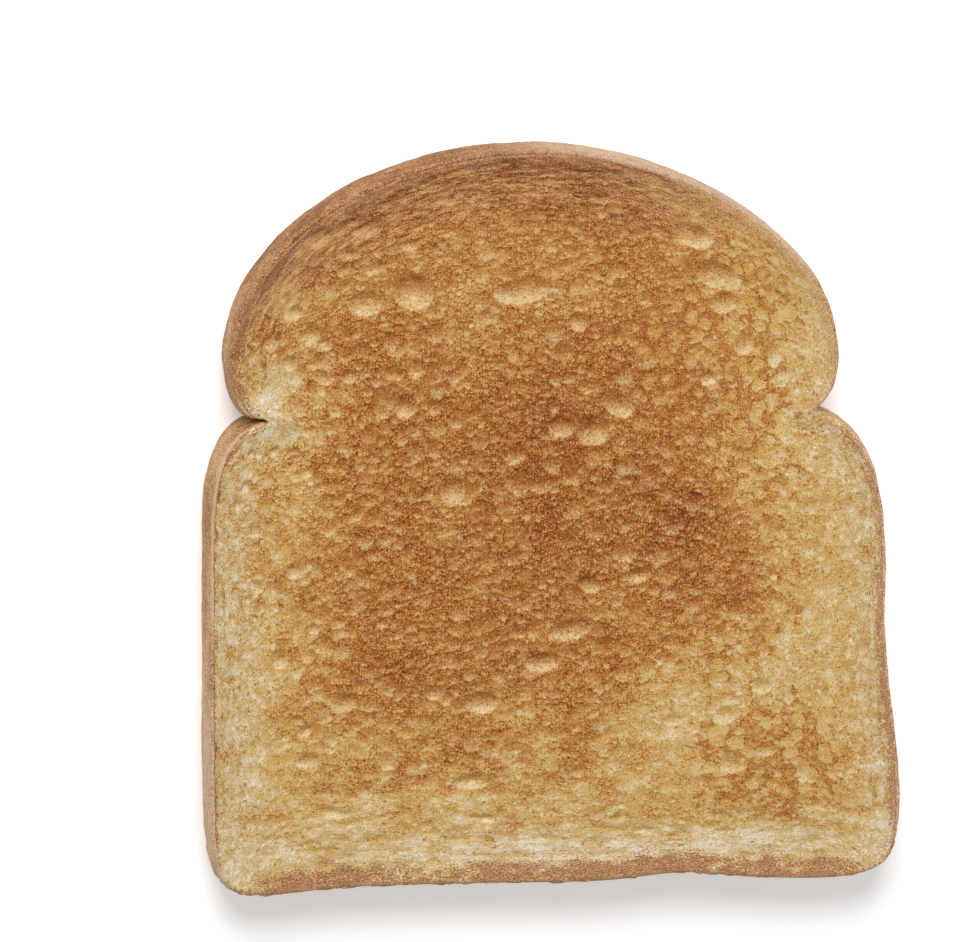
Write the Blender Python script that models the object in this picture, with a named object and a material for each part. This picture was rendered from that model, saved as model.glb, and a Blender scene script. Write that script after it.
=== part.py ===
"""One slice of toasted white sandwich bread, lying flat with its browner face up.

The slice is a single solid: a mushroom-topped outline, a crust that bulges between its two
knife cuts, a crumb face that sinks a little inside the crust's rim, and the larger pores of
the crumb, which the knife left as open bowls in both faces.

Units are metres, +Z is up through the slice and +Y runs from the loaf's base to its crown.
"""

import math

import bmesh
import bpy
from mathutils import Matrix, Vector, geometry, noise

MM = 0.001

# Driving dimensions, in millimetres.
THICKNESS = 12.0  # between the two knife cuts
RIM_ROUND = 0.6  # how far the cut edges of the crust are worn back
CRUST_BULGE = 0.6  # how far the crust stands out halfway up
RIM_WIDTH = 3.5  # from the cut edge to the sunken crumb
CRUMB_SINK = 0.5  # how far the crumb has shrunk below the rim
CRUMB_SWELL = 0.25  # height of the slow waves in the crumb's face
SWELL_LENGTH = 17.0
FOLD_REACH = 7.0  # along the outline from a fold's tip to the full crust profile

# The crown is the upper half of an ellipse, sunk a little towards its right shoulder.
CROWN_MIDDLE = Vector((-3.5, 25.7))
CROWN_HALF_WIDTH = 48.9
CROWN_RISE = 33.9
SLUMP = 0.032  # as a share of the crown's radius
SLUMP_ANGLE = 50.0  # degrees round from +X
SLUMP_SPREAD = 30.0

# Below the crown the crust curls in to a fold on each side, and from there it runs round the
# lower part of the loaf. BASE starts at the right corner and LEFT_SIDE at the left one.
LEFT_FOLD = (-43.9, 17.4)
RIGHT_FOLD = (41.4, 17.0)
LEFT_LOBE = [LEFT_FOLD, (-45.8, 17.6), (-48.2, 17.7), (-50.2, 18.6), (-51.7, 21.3), (-52.4, 25.7)]
RIGHT_LOBE = [(45.4, 25.7), (44.6, 21.2), (42.9, 18.3), RIGHT_FOLD]
RIGHT_SIDE = [
    RIGHT_FOLD, (45.7, 14.8), (49.2, 11.0), (51.9, 4.7),
    (53.0, -6.0), (53.3, -22.0), (55.5, -44.0), (55.2, -53.0),
]
BASE = [
    (53.2, -57.2), (47.0, -59.3), (33.0, -59.1), (20.5, -57.9),
    (7.0, -58.8), (-15.5, -58.5), (-35.0, -58.5), (-45.5, -59.3), (-51.5, -58.8),
]
LEFT_SIDE = [
    (-54.0, -56.8), (-55.4, -52.5), (-55.8, -44.0), (-55.8, -12.0), (-55.5, 3.5),
    (-54.2, 10.2), (-51.6, 14.7), (-48.2, 16.8), (-45.8, 17.2), LEFT_FOLD,
]
CURVE_STEPS = 10  # between one point of the outline and the next

# The face is divided as a rectangle in the middle, framed by rings that reach the crust.
CORE_MIDDLE = Vector((-1.5, -3.0))
CORE_HALF_WIDTH = 35.0
CORE_HALF_DEPTH = 38.0
FACES_ACROSS = 40
FACES_DEEP = 42
RINGS = 6

# The larger pores: middle x, y, half length, half width, depth, and turn in degrees.
TOP_PORES = [
    (-24.0, 36.9, 3.6, 2.7, 1.9, -12),
    (-31.6, 34.9, 2.6, 2.0, 1.5, 0),
    (-6.6, 36.9, 4.6, 1.7, 1.3, 12),
    (20.4, 45.9, 3.6, 1.7, 1.1, -24),
    (24.6, 39.4, 4.4, 1.9, 1.2, -22),
    (2.6, 32.1, 1.8, 2.2, 1.4, 0),
    (-25.3, 18.9, 2.3, 2.0, 1.4, 0),
    (0.1, 15.4, 2.4, 1.8, 1.2, 10),
    (5.0, 14.6, 3.2, 2.5, 1.6, -8),
    (8.6, 18.9, 3.4, 1.8, 1.3, -28),
    (-17.7, 5.4, 2.8, 2.5, 1.4, 0),
    (4.3, -9.9, 2.6, 1.7, 1.1, -30),
    (1.4, -17.0, 4.2, 1.8, 1.2, 14),
    (-3.3, -22.2, 3.2, 1.6, 1.3, 6),
    (-13.0, -28.4, 3.2, 1.8, 1.2, 4),
    (-34.8, -28.4, 2.4, 1.6, 1.0, 30),
]
UNDER_PORES = [
    (20.0, 34.0, 4.2, 2.6, 1.5, 15),
    (-18.0, 27.0, 3.0, 2.4, 1.3, 0),
    (31.0, -6.0, 3.4, 2.2, 1.2, -25),
    (-30.0, -14.0, 4.6, 2.3, 1.4, 8),
    (12.0, -34.0, 5.2, 2.0, 1.2, 4),
    (-12.0, -40.0, 3.2, 1.8, 1.0, -6),
]

CRUMB_COLOUR = (0.42, 0.21, 0.075, 1.0)
CRUMB_ROUGHNESS = 0.75


def clear_scene():
    for obj in list(bpy.data.objects):
        bpy.data.objects.remove(obj)


def eased(share):
    """0 below 0 and 1 above 1, with a smooth rise between."""
    share = min(max(share, 0.0), 1.0)
    return share * share * (3 - 2 * share)


def crown_arc(steps=72):
    """The crown from its left to its right end."""
    path = []
    for step in range(steps + 1):
        angle = 180 * (1 - step / steps)
        slump = SLUMP * math.exp(-(((angle - SLUMP_ANGLE) / SLUMP_SPREAD) ** 2))
        turn = math.radians(angle)
        reach = Vector((CROWN_HALF_WIDTH * math.cos(turn), CROWN_RISE * math.sin(turn)))
        path.append(CROWN_MIDDLE + reach * (1 - slump))
    return path


def smooth_path(points):
    """A Bezier curve through the points, level with its neighbours' line at each of them."""
    knots = [Vector(point) for point in points]
    ends = zip([knots[0], *knots], [*knots[1:], knots[-1]])
    slopes = [(after - before).normalized() for before, after in ends]
    path = [knots[0]]
    for start, end, leaving, arriving in zip(knots, knots[1:], slopes, slopes[1:]):
        third = (end - start).length / 3
        handles = (start + leaving * third, end - arriving * third)
        path += geometry.interpolate_bezier(start, *handles, end, CURVE_STEPS + 1)[1:]
    return path


def run_length(path):
    return sum((b - a).length for a, b in zip(path, path[1:]))


def spaced(path, count):
    """The first points of count equal lengths along the path; its end starts the next one."""
    stride = run_length(path) / count
    found, walked, leg = [], 0.0, 0
    for index in range(count):
        while walked + (path[leg + 1] - path[leg]).length < index * stride:
            walked += (path[leg + 1] - path[leg]).length
            leg += 1
        share = (index * stride - walked) / (path[leg + 1] - path[leg]).length
        found.append(path[leg].lerp(path[leg + 1], share))
    return found


def fold_row(fold):
    """How many faces up the side of the core the fold's tip lies."""
    base = CORE_MIDDLE.y - CORE_HALF_DEPTH
    return round(FACES_DEEP * (fold[1] - base) / (2 * CORE_HALF_DEPTH))


def outline_loop():
    """The outline as evenly spaced points, clockwise, and which of them are the folds' tips."""
    crown = crown_arc()
    corner = len(crown) // 8
    left_lobe = smooth_path(LEFT_LOBE) + crown[1 : corner + 1]
    right_lobe = crown[-corner - 1 :] + smooth_path(RIGHT_LOBE)[1:]
    lower = smooth_path([*RIGHT_SIDE, *BASE, *LEFT_SIDE])
    right_corner = len(RIGHT_SIDE) * CURVE_STEPS
    left_corner = right_corner + len(BASE) * CURVE_STEPS
    left_row, right_row = fold_row(LEFT_FOLD), fold_row(RIGHT_FOLD)
    loop = [
        *spaced(lower[left_corner:], left_row),
        *spaced(left_lobe, FACES_DEEP - left_row),
        *spaced(crown[corner:-corner], FACES_ACROSS),
        *spaced(right_lobe, FACES_DEEP - right_row),
        *spaced(lower[: right_corner + 1], right_row),
        *spaced(lower[right_corner : left_corner + 1], FACES_ACROSS),
    ]
    return loop, [left_row, 2 * FACES_DEEP + FACES_ACROSS - right_row]


def core_loop():
    """The middle rectangle's edge, point for point beside the outline."""
    half = Vector((CORE_HALF_WIDTH, CORE_HALF_DEPTH))
    low, high = CORE_MIDDLE - half, CORE_MIDDLE + half
    corners = [low, Vector((low.x, high.y)), high, Vector((high.x, low.y)), low]
    loop = []
    for start, end, faces in zip(corners, corners[1:], [FACES_DEEP, FACES_ACROSS] * 2):
        loop += [start.lerp(end, index / faces) for index in range(faces)]
    return loop


def outward_normals(loop, folds):
    """The outline's outward directions, shortened to nothing at the tips of the folds."""
    normals = []
    for index, point in enumerate(loop):
        along = (loop[(index + 1) % len(loop)] - loop[index - 1]).normalized()
        near_fold = min((point - loop[fold]).length for fold in folds)
        normals.append(Vector((-along.y, along.x)) * eased(near_fold / FOLD_REACH))
    return normals


def crust_profile():
    """(outward offset, height) down the crust, from under the top cut to the bottom one."""
    rows = []
    for share in (0.05, 0.25, 0.5, 0.75, 0.95):
        bulge = CRUST_BULGE * math.sin(math.pi * share)
        worn = RIM_ROUND * (1 - math.sin(math.pi * share)) ** 4
        rows.append((bulge - worn, THICKNESS * (1 - share)))
    return [*rows, (-RIM_ROUND, 0.0)]


def face_height(point, cut_edge):
    """The top face above the table: a rim at full height, then sunken, slowly waving crumb."""
    from_edge = min((point - other).length for other in cut_edge)
    wave = noise.noise(Vector((point.x, point.y, 0.0)) / SWELL_LENGTH)
    return THICKNESS - eased(from_edge / RIM_WIDTH) * (CRUMB_SINK + CRUMB_SWELL * wave)


def add_ring(bm, points, heights):
    return [bm.verts.new((p.x * MM, p.y * MM, h * MM)) for p, h in zip(points, heights)]


def join_rings(bm, upper, lower):
    """Quads between two closed rings of as many vertices."""
    for index in range(len(upper)):
        after = (index + 1) % len(upper)
        bm.faces.new((upper[index], upper[after], lower[after], lower[index]))


def add_core(bm, cut_edge):
    """The middle rectangle of the top face."""
    half = Matrix.Diagonal((CORE_HALF_WIDTH * MM, CORE_HALF_DEPTH * MM, 1.0, 1.0))
    placed = Matrix.Translation((*CORE_MIDDLE * MM, 0.0)) @ half
    grid = bmesh.ops.create_grid(
        bm, x_segments=FACES_ACROSS, y_segments=FACES_DEEP, size=1.0, matrix=placed
    )
    for vert in grid["verts"]:
        vert.co.z = face_height(vert.co.xy / MM, cut_edge) * MM


def add_face(bm, cut_edge):
    """The top face, from the cut edge in to the core; gives back the cut edge's vertices."""
    rim = add_ring(bm, cut_edge, [THICKNESS] * len(cut_edge))
    outer = rim
    for ring in range(1, RINGS + 1):
        points = [edge.lerp(core, ring / RINGS) for edge, core in zip(cut_edge, core_loop())]
        inner = add_ring(bm, points, [face_height(point, cut_edge) for point in points])
        join_rings(bm, inner, outer)
        outer = inner
    add_core(bm, cut_edge)
    return rim


def toast_body():
    """The slice without its larger pores, as one closed mesh."""
    loop, folds = outline_loop()
    normals = outward_normals(loop, folds)
    bm = bmesh.new()
    upper = add_face(bm, [p - n * RIM_ROUND for p, n in zip(loop, normals)])
    for offset, height in crust_profile():
        points = [p + n * offset for p, n in zip(loop, normals)]
        lower = add_ring(bm, points, [height] * len(points))
        join_rings(bm, upper, lower)
        upper = lower
    bm.faces.new(upper)
    bmesh.ops.remove_doubles(bm, verts=bm.verts, dist=0.02 * MM)
    bmesh.ops.recalc_face_normals(bm, faces=bm.faces)
    mesh = bpy.data.meshes.new("toast_slice")
    bm.to_mesh(mesh)
    bm.free()
    return mesh


def pore_cutter(name, pores, face, collection):
    """One mesh of flattened balls, each centred on the face and as deep as its pore."""
    bm = bmesh.new()
    for x, y, half_length, half_width, depth, turn in pores:
        stand = Matrix.Translation(Vector((x, y, face)) * MM)
        spin = Matrix.Rotation(math.radians(turn), 4, "Z")
        shape = Matrix.Diagonal((half_length * MM, half_width * MM, depth * MM, 1.0))
        bmesh.ops.create_uvsphere(
            bm, u_segments=12, v_segments=8, radius=1.0, matrix=stand @ spin @ shape
        )
    mesh = bpy.data.meshes.new(name)
    bm.to_mesh(mesh)
    bm.free()
    cutter = bpy.data.objects.new(name, mesh)
    cutter.hide_render = True
    cutter.display_type = "WIRE"
    collection.objects.link(cutter)
    return cutter


def cut(body, cutter):
    boolean = body.modifiers.new(cutter.name, "BOOLEAN")
    boolean.operation = "DIFFERENCE"
    boolean.object = cutter
    boolean.use_self = True  # pores that lie close run into each other


def crumb_material():
    material = bpy.data.materials.new("toasted_crumb")
    material.use_nodes = True
    shader = material.node_tree.nodes["Principled BSDF"]
    shader.inputs["Base Color"].default_value = CRUMB_COLOUR
    shader.inputs["Roughness"].default_value = CRUMB_ROUGHNESS
    return material


def new_collection(name):
    collection = bpy.data.collections.new(name)
    bpy.context.scene.collection.children.link(collection)
    return collection


def main():
    clear_scene()
    toast = new_collection("toast")
    cutters = new_collection("cutters")
    body = bpy.data.objects.new("toast_slice", toast_body())
    body.data.materials.append(crumb_material())
    body.data.shade_smooth()
    body.data.set_sharp_from_angle(angle=math.radians(40))
    toast.objects.link(body)
    cut(body, pore_cutter("top_pores", TOP_PORES, THICKNESS - CRUMB_SINK, cutters))
    cut(body, pore_cutter("under_pores", UNDER_PORES, 0.0, cutters))


main()
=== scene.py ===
import math

import bpy
import numpy as np
from mathutils import Matrix, Vector


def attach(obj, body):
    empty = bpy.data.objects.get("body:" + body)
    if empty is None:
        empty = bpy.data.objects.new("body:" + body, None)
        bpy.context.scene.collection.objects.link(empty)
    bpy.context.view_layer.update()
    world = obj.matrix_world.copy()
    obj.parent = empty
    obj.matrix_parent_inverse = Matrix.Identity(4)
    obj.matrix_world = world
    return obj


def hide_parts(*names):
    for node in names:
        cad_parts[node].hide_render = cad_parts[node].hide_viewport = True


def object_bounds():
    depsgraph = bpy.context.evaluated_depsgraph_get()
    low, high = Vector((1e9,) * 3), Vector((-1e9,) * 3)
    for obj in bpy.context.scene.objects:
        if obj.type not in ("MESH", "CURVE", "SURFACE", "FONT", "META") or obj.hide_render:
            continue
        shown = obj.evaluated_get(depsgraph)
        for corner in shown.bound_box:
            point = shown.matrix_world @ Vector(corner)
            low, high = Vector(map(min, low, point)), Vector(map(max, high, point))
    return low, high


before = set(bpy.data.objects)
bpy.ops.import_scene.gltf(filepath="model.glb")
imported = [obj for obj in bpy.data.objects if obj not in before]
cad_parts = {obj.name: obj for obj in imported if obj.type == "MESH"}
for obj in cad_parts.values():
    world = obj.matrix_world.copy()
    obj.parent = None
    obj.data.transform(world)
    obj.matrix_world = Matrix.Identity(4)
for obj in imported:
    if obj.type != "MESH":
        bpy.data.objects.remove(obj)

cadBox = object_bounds()
mm = 0.001

# A slice of toast, made as three closed pieces: the browned crumb face on top, the crust round
# the side, and the crumb face that it lies on. All of them stand for the one CAD solid.
# Lengths in the dictionaries are millimetres, angles are degrees.
slab = {
    "thickness": (cadBox[1].z - cadBox[0].z) / mm,
    "crownMiddle": (-3.5, 25.7),
    "crownHalfWidth": 48.9,
    "crownRise": 33.9,
    "slump": 0.032,            # how far the crown sinks at its right shoulder, of its radius
    "slumpAngle": 50.0,
    "slumpSpread": 30.0,
    "crownCorner": 22.5,       # where the sides of the face end and its top begins
    "leftLobe": [(-43.9, 17.4), (-45.8, 17.6), (-48.2, 17.7), (-50.2, 18.6), (-51.7, 21.3), (-52.4, 25.7)],
    "rightLobe": [(45.4, 25.7), (44.6, 21.2), (42.9, 18.3), (41.4, 17.0)],
    "rightSide": [(41.4, 17.0), (45.7, 14.8), (49.2, 11.0), (51.9, 4.7),
                  (53.0, -6.0), (53.3, -22.0), (55.5, -44.0), (55.2, -53.0)],
    "base": [(53.2, -57.2), (47.0, -59.3), (33.0, -59.1), (20.5, -57.9), (7.0, -58.8),
             (-15.5, -58.5), (-35.0, -58.5), (-45.5, -59.3), (-51.5, -58.8)],
    "leftSide": [(-54.0, -56.8), (-55.4, -52.5), (-55.8, -44.0), (-55.8, -12.0), (-55.5, 3.5),
                 (-54.2, 10.2), (-51.6, 14.7), (-48.2, 16.8), (-45.8, 17.2), (-43.9, 17.4)],
    "curveSteps": 10,
    "foldReach": 7.0,          # along the outline, over which a fold's lips lose the crust's bulge
    "slitOpen": 0.07,          # the left fold's slit: how far its lips bulge at the tip, and
    "slitReach": 6.0,          # over what length they close on each other
    "outlinePoints": 1340,
}


def ease(x):  # 0 below 0, 1 above 1 and 3x^2 - 2x^3 between
    x = np.clip(x, 0.0, 1.0)
    return x * x * (3 - 2 * x)


def curveThrough(points):  # a cubic Bezier between each two points, level with their neighbours' line
    knots = np.array(points)
    ends = np.vstack([knots[1:], knots[-1:]]) - np.vstack([knots[:1], knots[:-1]])
    slopes = ends / np.hypot(*ends.T)[:, None]
    third = (np.hypot(*np.diff(knots, axis=0).T) / 3)[:, None, None]
    t = np.linspace(0, 1, slab["curveSteps"], endpoint=False)[None, :, None]
    start, end = knots[:-1, None], knots[1:, None]
    leave, arrive = start + slopes[:-1, None] * third, end - slopes[1:, None] * third
    run = start * (1 - t) ** 3 + 3 * leave * t * (1 - t) ** 2 + 3 * arrive * t**2 * (1 - t) + end * t**3
    return np.vstack([run.reshape(-1, 2), knots[-1:]])


def crownArc(fromAngle, toAngle):  # an ellipse, its radius shrunk by a bell curve round the slump's angle
    angle = np.linspace(fromAngle, toAngle, 181)
    radius = 1 - slab["slump"] * np.exp(-(((angle - slab["slumpAngle"]) / slab["slumpSpread"]) ** 2))
    across = slab["crownHalfWidth"] * radius * np.cos(np.radians(angle))
    rise = slab["crownRise"] * radius * np.sin(np.radians(angle))
    return np.array(slab["crownMiddle"]) + np.stack([across, rise], -1)


def spaced(path, count, pull=(1.0, 1.0)):  # count equal steps along a path, x and y weighed by pull
    steps = np.hypot(*(np.diff(path, axis=0) * pull).T)
    walked = np.concatenate([[0.0], np.cumsum(steps)])
    stops = np.linspace(0, walked[-1], count + 1)
    return np.stack([np.interp(stops, walked, path[:, 0]), np.interp(stops, walked, path[:, 1])], -1)


corner = slab["crownCorner"]
lower = curveThrough(slab["rightSide"] + slab["base"] + slab["leftSide"])
rightCorner = len(slab["rightSide"]) * slab["curveSteps"]
leftCorner = rightCorner + len(slab["base"]) * slab["curveSteps"]
leftBelow = lower[leftCorner:]         # clockwise from the lower left corner, up to the fold's tip
leftAbove = np.vstack([curveThrough(slab["leftLobe"]), crownArc(180, 180 - corner)[1:]])
crownRun = crownArc(180 - corner, corner)
rightAbove = np.vstack([crownArc(corner, 0), curveThrough(slab["rightLobe"])[1:]])
rightBelow = lower[:rightCorner + 1]
baseRun = lower[rightCorner:leftCorner + 1]
runs = [leftBelow, leftAbove, crownRun, rightAbove, rightBelow, baseRun]
outline = spaced(np.vstack(runs), slab["outlinePoints"])[:-1]
outlineRun = np.hypot(*(outline - np.roll(outline, 1, 0)).T).cumsum()
slope = np.roll(outline, -3, 0) - np.roll(outline, 3, 0)
outward = np.stack([-slope[:, 1], slope[:, 0]], -1) / np.hypot(*slope.T)[:, None]
foldTips = np.array([slab["leftLobe"][0], slab["rightLobe"][-1]])
foldAway = np.hypot(*(outline[:, None] - foldTips).transpose(2, 0, 1)).min(1)
foldEase = ease(foldAway / slab["foldReach"])
slitClose = np.clip(slab["slitOpen"] + foldAway / slab["slitReach"], 0, 1)
foldClose = np.where(outline[:, 0] < 0, slitClose, 0)
print("outline:", len(outline), "points,", round(outlineRun[-1]), "mm round")


waveGain = 1.6                         # brings the waves below up to about 1


def scatter(i, j, salt):  # a number from 0 to 1 for each whole i and j, from mixed and folded bits
    mixed = (i.astype(np.int64) * 73856093) ^ (j.astype(np.int64) * 19349663) ^ (salt * 83492791)
    mixed = ((mixed ^ (mixed >> 13)) * 1274126177) & 0xFFFFFFFF
    mixed = ((mixed ^ (mixed >> 16)) * 73244475) & 0xFFFFFFFF
    return ((mixed ^ (mixed >> 15)) & 0xFFFFFF) / 0xFFFFFF


def waves(x, y, salt, wrap=0):  # -1 to 1: slopes scattered on whole numbers, eased together; wrap closes x
    i, j = np.floor(x).astype(np.int64), np.floor(y).astype(np.int64)
    fx, fy = x - i, y - j
    total = 0.0
    for di in (0, 1):
        for dj in (0, 1):
            ci = (i + di) % wrap if wrap else i + di
            turn = scatter(ci, j + dj, salt) * 2 * math.pi
            lean = np.cos(turn) * (fx - di) + np.sin(turn) * (fy - dj)
            wx, wy = 1 - np.abs(fx - di), 1 - np.abs(fy - dj)
            total = total + lean * ease(wx) * ease(wy)
    return total * waveGain


def layeredWaves(x, y, salt, layers=3):  # each layer half as long and half as high as the last
    return sum(waves(x * 2**n, y * 2**n, salt + n) / 2**n for n in range(layers)) / waveGain


def bubbles(x, y, salt, jitter=0.9):  # the nearest of many scattered points: how far, how far up, its dice
    i, j = np.floor(x).astype(np.int64), np.floor(y).astype(np.int64)
    near, second, above = np.full(x.shape, 9.0), np.full(x.shape, 9.0), np.zeros(x.shape)
    dice = [np.zeros(x.shape) for _ in range(3)]
    for di in (-1, 0, 1):
        for dj in (-1, 0, 1):
            ci, cj = i + di, j + dj
            px = ci + 0.5 + (scatter(ci, cj, salt) - 0.5) * jitter
            py = cj + 0.5 + (scatter(ci, cj, salt + 1) - 0.5) * jitter
            away = np.hypot(x - px, y - py)
            closer = away < near
            second = np.where(closer, near, np.minimum(second, away))
            near, above = np.where(closer, away, near), np.where(closer, y - py, above)
            for k in range(3):
                dice[k] = np.where(closer, scatter(ci, cj, salt + 2 + k), dice[k])
    return near, second, above, dice


# How far the nearest spot of a path is from each point, the way in from there, and its run along the
# path: the foot of the perpendicular to each straight step, kept within the step, and the least taken.
def nearestOn(path, points, batch=4000, nudge=0.05):
    start, along = path[:-1], np.diff(path, axis=0)
    length = np.maximum(np.hypot(*along.T), 1e-9)
    inward = np.stack([along[:, 1], -along[:, 0]], -1) / length[:, None]
    walked = np.concatenate([[0.0], np.cumsum(length)[:-1]])
    away, run, way = np.empty(len(points)), np.empty(len(points)), np.empty((len(points), 2))
    for first in range(0, len(points), batch):
        some = slice(first, first + batch)
        part = points[some, None]
        share = np.clip(((part - start) * along).sum(-1) / length**2, 0, 1)
        gap = part - start - along * share[..., None]
        reach = (gap**2).sum(-1)
        rows, pick = np.arange(len(reach)), reach.argmin(1)
        lean = gap[rows, pick] + inward[pick] * nudge
        away[some] = np.sqrt(reach[rows, pick])
        run[some] = walked[pick] + share[rows, pick] * length[pick]
        way[some] = lean / np.hypot(*lean.T)[:, None]
    return away, way, run


faceGrid = {
    "across": 308,
    "deep": 310,
    "foldRow": 236,            # the row that meets both folds
    "sidePull": (0.45, 1.0),   # a fold's lips run across, and take few rows
    "settling": 260,
    "endFade": 12.0,           # over which an edge's pattern dies away towards its ends
    "rightLobe": (12.0, 22.0, 0.75),   # where the crown's pattern calms, over what length, by how much
}


def faceSheet():  # each row and column blends opposite sides, less the blend of the four corners
    fold, deep, pull = faceGrid["foldRow"], faceGrid["deep"], faceGrid["sidePull"]
    u = np.linspace(0, 1, faceGrid["across"] + 1)[None, :, None]
    v = np.linspace(0, 1, deep + 1)[:, None, None]
    left = np.vstack([spaced(leftBelow, fold, pull), spaced(leftAbove, deep - fold, pull)[1:]])
    right = np.vstack([spaced(rightBelow[::-1], fold, pull), spaced(rightAbove[::-1], deep - fold, pull)[1:]])
    left, right = left[:, None], right[:, None]
    top = spaced(crownRun, faceGrid["across"])[None]
    base = spaced(baseRun[::-1], faceGrid["across"])[None]
    low, high = (1 - u) * base[:, :1] + u * base[:, -1:], (1 - u) * top[:, :1] + u * top[:, -1:]
    return (1 - v) * base + v * top + (1 - u) * left + u * right - (1 - v) * low - v * high


def settled(points, rounds):  # Winslow's rule: each point goes where its neighbours' rows and columns cross
    points = points.copy()
    for _ in range(rounds):
        west, east = points[1:-1, :-2], points[1:-1, 2:]
        south, north = points[:-2, 1:-1], points[2:, 1:-1]
        across, up = (east - west) / 2, (north - south) / 2
        twist = (points[2:, 2:] - points[2:, :-2] - points[:-2, 2:] + points[:-2, :-2]) / 4
        rise, width = (up**2).sum(-1, keepdims=True), (across**2).sum(-1, keepdims=True)
        skew = (across * up).sum(-1, keepdims=True)
        pulled = rise * (east + west) + width * (north + south) - 2 * skew * twist
        points[1:-1, 1:-1] = pulled / (2 * (rise + width))
    return points


def smoothed(field, rounds):  # each value moves to the middle of its four neighbours' mean
    for _ in range(rounds):
        wide = np.pad(field, [(1, 1), (1, 1)] + [(0, 0)] * (field.ndim - 2), mode="edge")
        mean = (wide[2:, 1:-1] + wide[:-2, 1:-1] + wide[1:-1, 2:] + wide[1:-1, :-2]) / 4
        field = (field + mean) / 2
    return field


sheet = settled(faceSheet(), faceGrid["settling"])
faceShape = sheet.shape[:2]
spots = sheet.reshape(-1, 2)
edges, endFade = {}, {}
for name, path in (("left", leftBelow), ("crown", np.vstack([leftAbove, crownRun, rightAbove])),
                   ("right", rightBelow), ("base", baseRun)):
    edges[name] = nearestOn(path, spots)
    edgeRun, edgeLength = edges[name][2], np.hypot(*np.diff(path, axis=0).T).sum()
    endFade[name] = ease(edgeRun / faceGrid["endFade"]) * ease((edgeLength - edgeRun) / faceGrid["endFade"])
calmFrom, calmOver, calmShare = faceGrid["rightLobe"]
endFade["crown"] *= 1 - calmShare * ease((spots[:, 0] - calmFrom) / calmOver)
depth = np.minimum.reduce([edge[0] for edge in edges.values()])
widest = float(np.hypot(*np.diff(sheet, axis=1).T).max())
print("face grid:", faceShape, "squares up to", round(widest, 2), "mm")

# The crumb was drawn out along the crust as the loaf rose: nearer an edge, the pattern is squeezed
# across it. reach is how many millimetres of pattern are added, fade how fast that dies away.
squeeze = {
    "left": {"reach": 5.0, "fade": 4.5},
    "crown": {"reach": 13.0, "fade": 7.0},
    "right": {"reach": 5.0, "fade": 5.0},
    "base": {"reach": 13.0, "fade": 9.0},
    "foldCalm": 12.0,
    "smoothing": 60,
}
# The fibres that show there run along the edge that is near enough to draw them out.
strands = {
    "fade": {"left": 5.0, "crown": 11.0, "right": 5.0, "base": 13.0},
    "baseFrom": (2.0, 4.0),    # the base's start this far in, and grow over this length
    "baseShare": 0.6,
    "apart": 300,              # keeps the edges' patterns from meeting
}

tipAway = np.hypot(*(spots[:, None] - foldTips).transpose(2, 0, 1)).min(1)


def squeezedSpots():  # each point less reach * exp(-distance / fade) along the way in, for every edge
    shift = np.zeros(spots.shape)
    for name, (away, way, _) in edges.items():
        fade = 1.0 if name == "crown" else endFade[name]
        shift -= way * (squeeze[name]["reach"] * fade * np.exp(-away / squeeze[name]["fade"]))[:, None]
    shift *= (1 - np.exp(-((tipAway / squeeze["foldCalm"]) ** 2)))[:, None]
    return spots + smoothed(shift.reshape(*faceShape, 2), squeeze["smoothing"]).reshape(-1, 2)


# Run along and distance in from the edge that draws each spot out most, and exp(-(distance / fade)^2).
def strandMap():
    names, fades = list(strands["fade"]), strands["fade"]
    share = np.array([endFade[name] * np.exp(-((edges[name][0] / fades[name]) ** 2)) for name in names])
    start, growth = strands["baseFrom"]
    share[names.index("base")] *= ease((edges["base"][0] - start) / growth) * strands["baseShare"]
    pick = share.argmax(0)
    run = np.choose(pick, [edges[name][2] for name in names]) + pick * strands["apart"]
    away = np.choose(pick, [edges[name][0] for name in names])
    return np.column_stack([run, away, np.zeros(len(spots))]), share.max(0)


drawn = squeezedSpots()
strandSpots, strandShare = strandMap()


def oval(x, y, middleX, middleY, halfLong, halfWide, turn=0.0):  # 0 at a turned oval's middle, 1 on its rim
    c, s = math.cos(math.radians(turn)), math.sin(math.radians(turn))
    dx, dy = x - middleX, y - middleY
    return np.hypot((dx * c + dy * s) / halfLong, (dy * c - dx * s) / halfWide)


def spot(x, y, middleX, middleY, halfLong, halfWide, turn=0.0):  # exp(-oval^2), 1 in the oval's middle
    return np.exp(-oval(x, y, middleX, middleY, halfLong, halfWide, turn) ** 2)


relief = {
    "rimDrop": 0.8,            # the face bends down at its rim, under the crust's lip
    "rimSpread": 0.25,
    "rimWidth": 3.5,
    "sink": 0.5,               # the crumb dried out below the rim
    "swell": 0.22,
    "swellLength": 17.0,
    "bigBowl": {"cell": 4.4, "share": 0.26, "depth": 0.38},
    "midBowl": {"cell": 2.2, "share": 0.26, "depth": 0.15},
    "bowlSize": (0.26, 0.24),  # of a cell: the smallest, and how much larger the largest are
    "bowlLip": (1.12, 0.14, 0.08),     # where a bowl's raised lip is, how wide and how high
    "wallCell": 1.35,
    "wall": 0.03,
    "poreLip": (1.12, 0.16, 0.10),
    "poreLie": (1.05, 1.2, 0.8),       # what a pore's length, width and depth are multiplied by
    "streakFade": 10.0,        # the crown's drawn-out streaks, in from the crust
    "streak": 0.2,
    "groove": 0.22,
    # the hollows along an edge: how far in they reach, how long and how wide
    "grooves": {"left": (9.0, 2.6, 0.8), "right": (8.0, 3.0, 0.9), "base": (16.0, 4.5, 1.0)},
}

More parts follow.
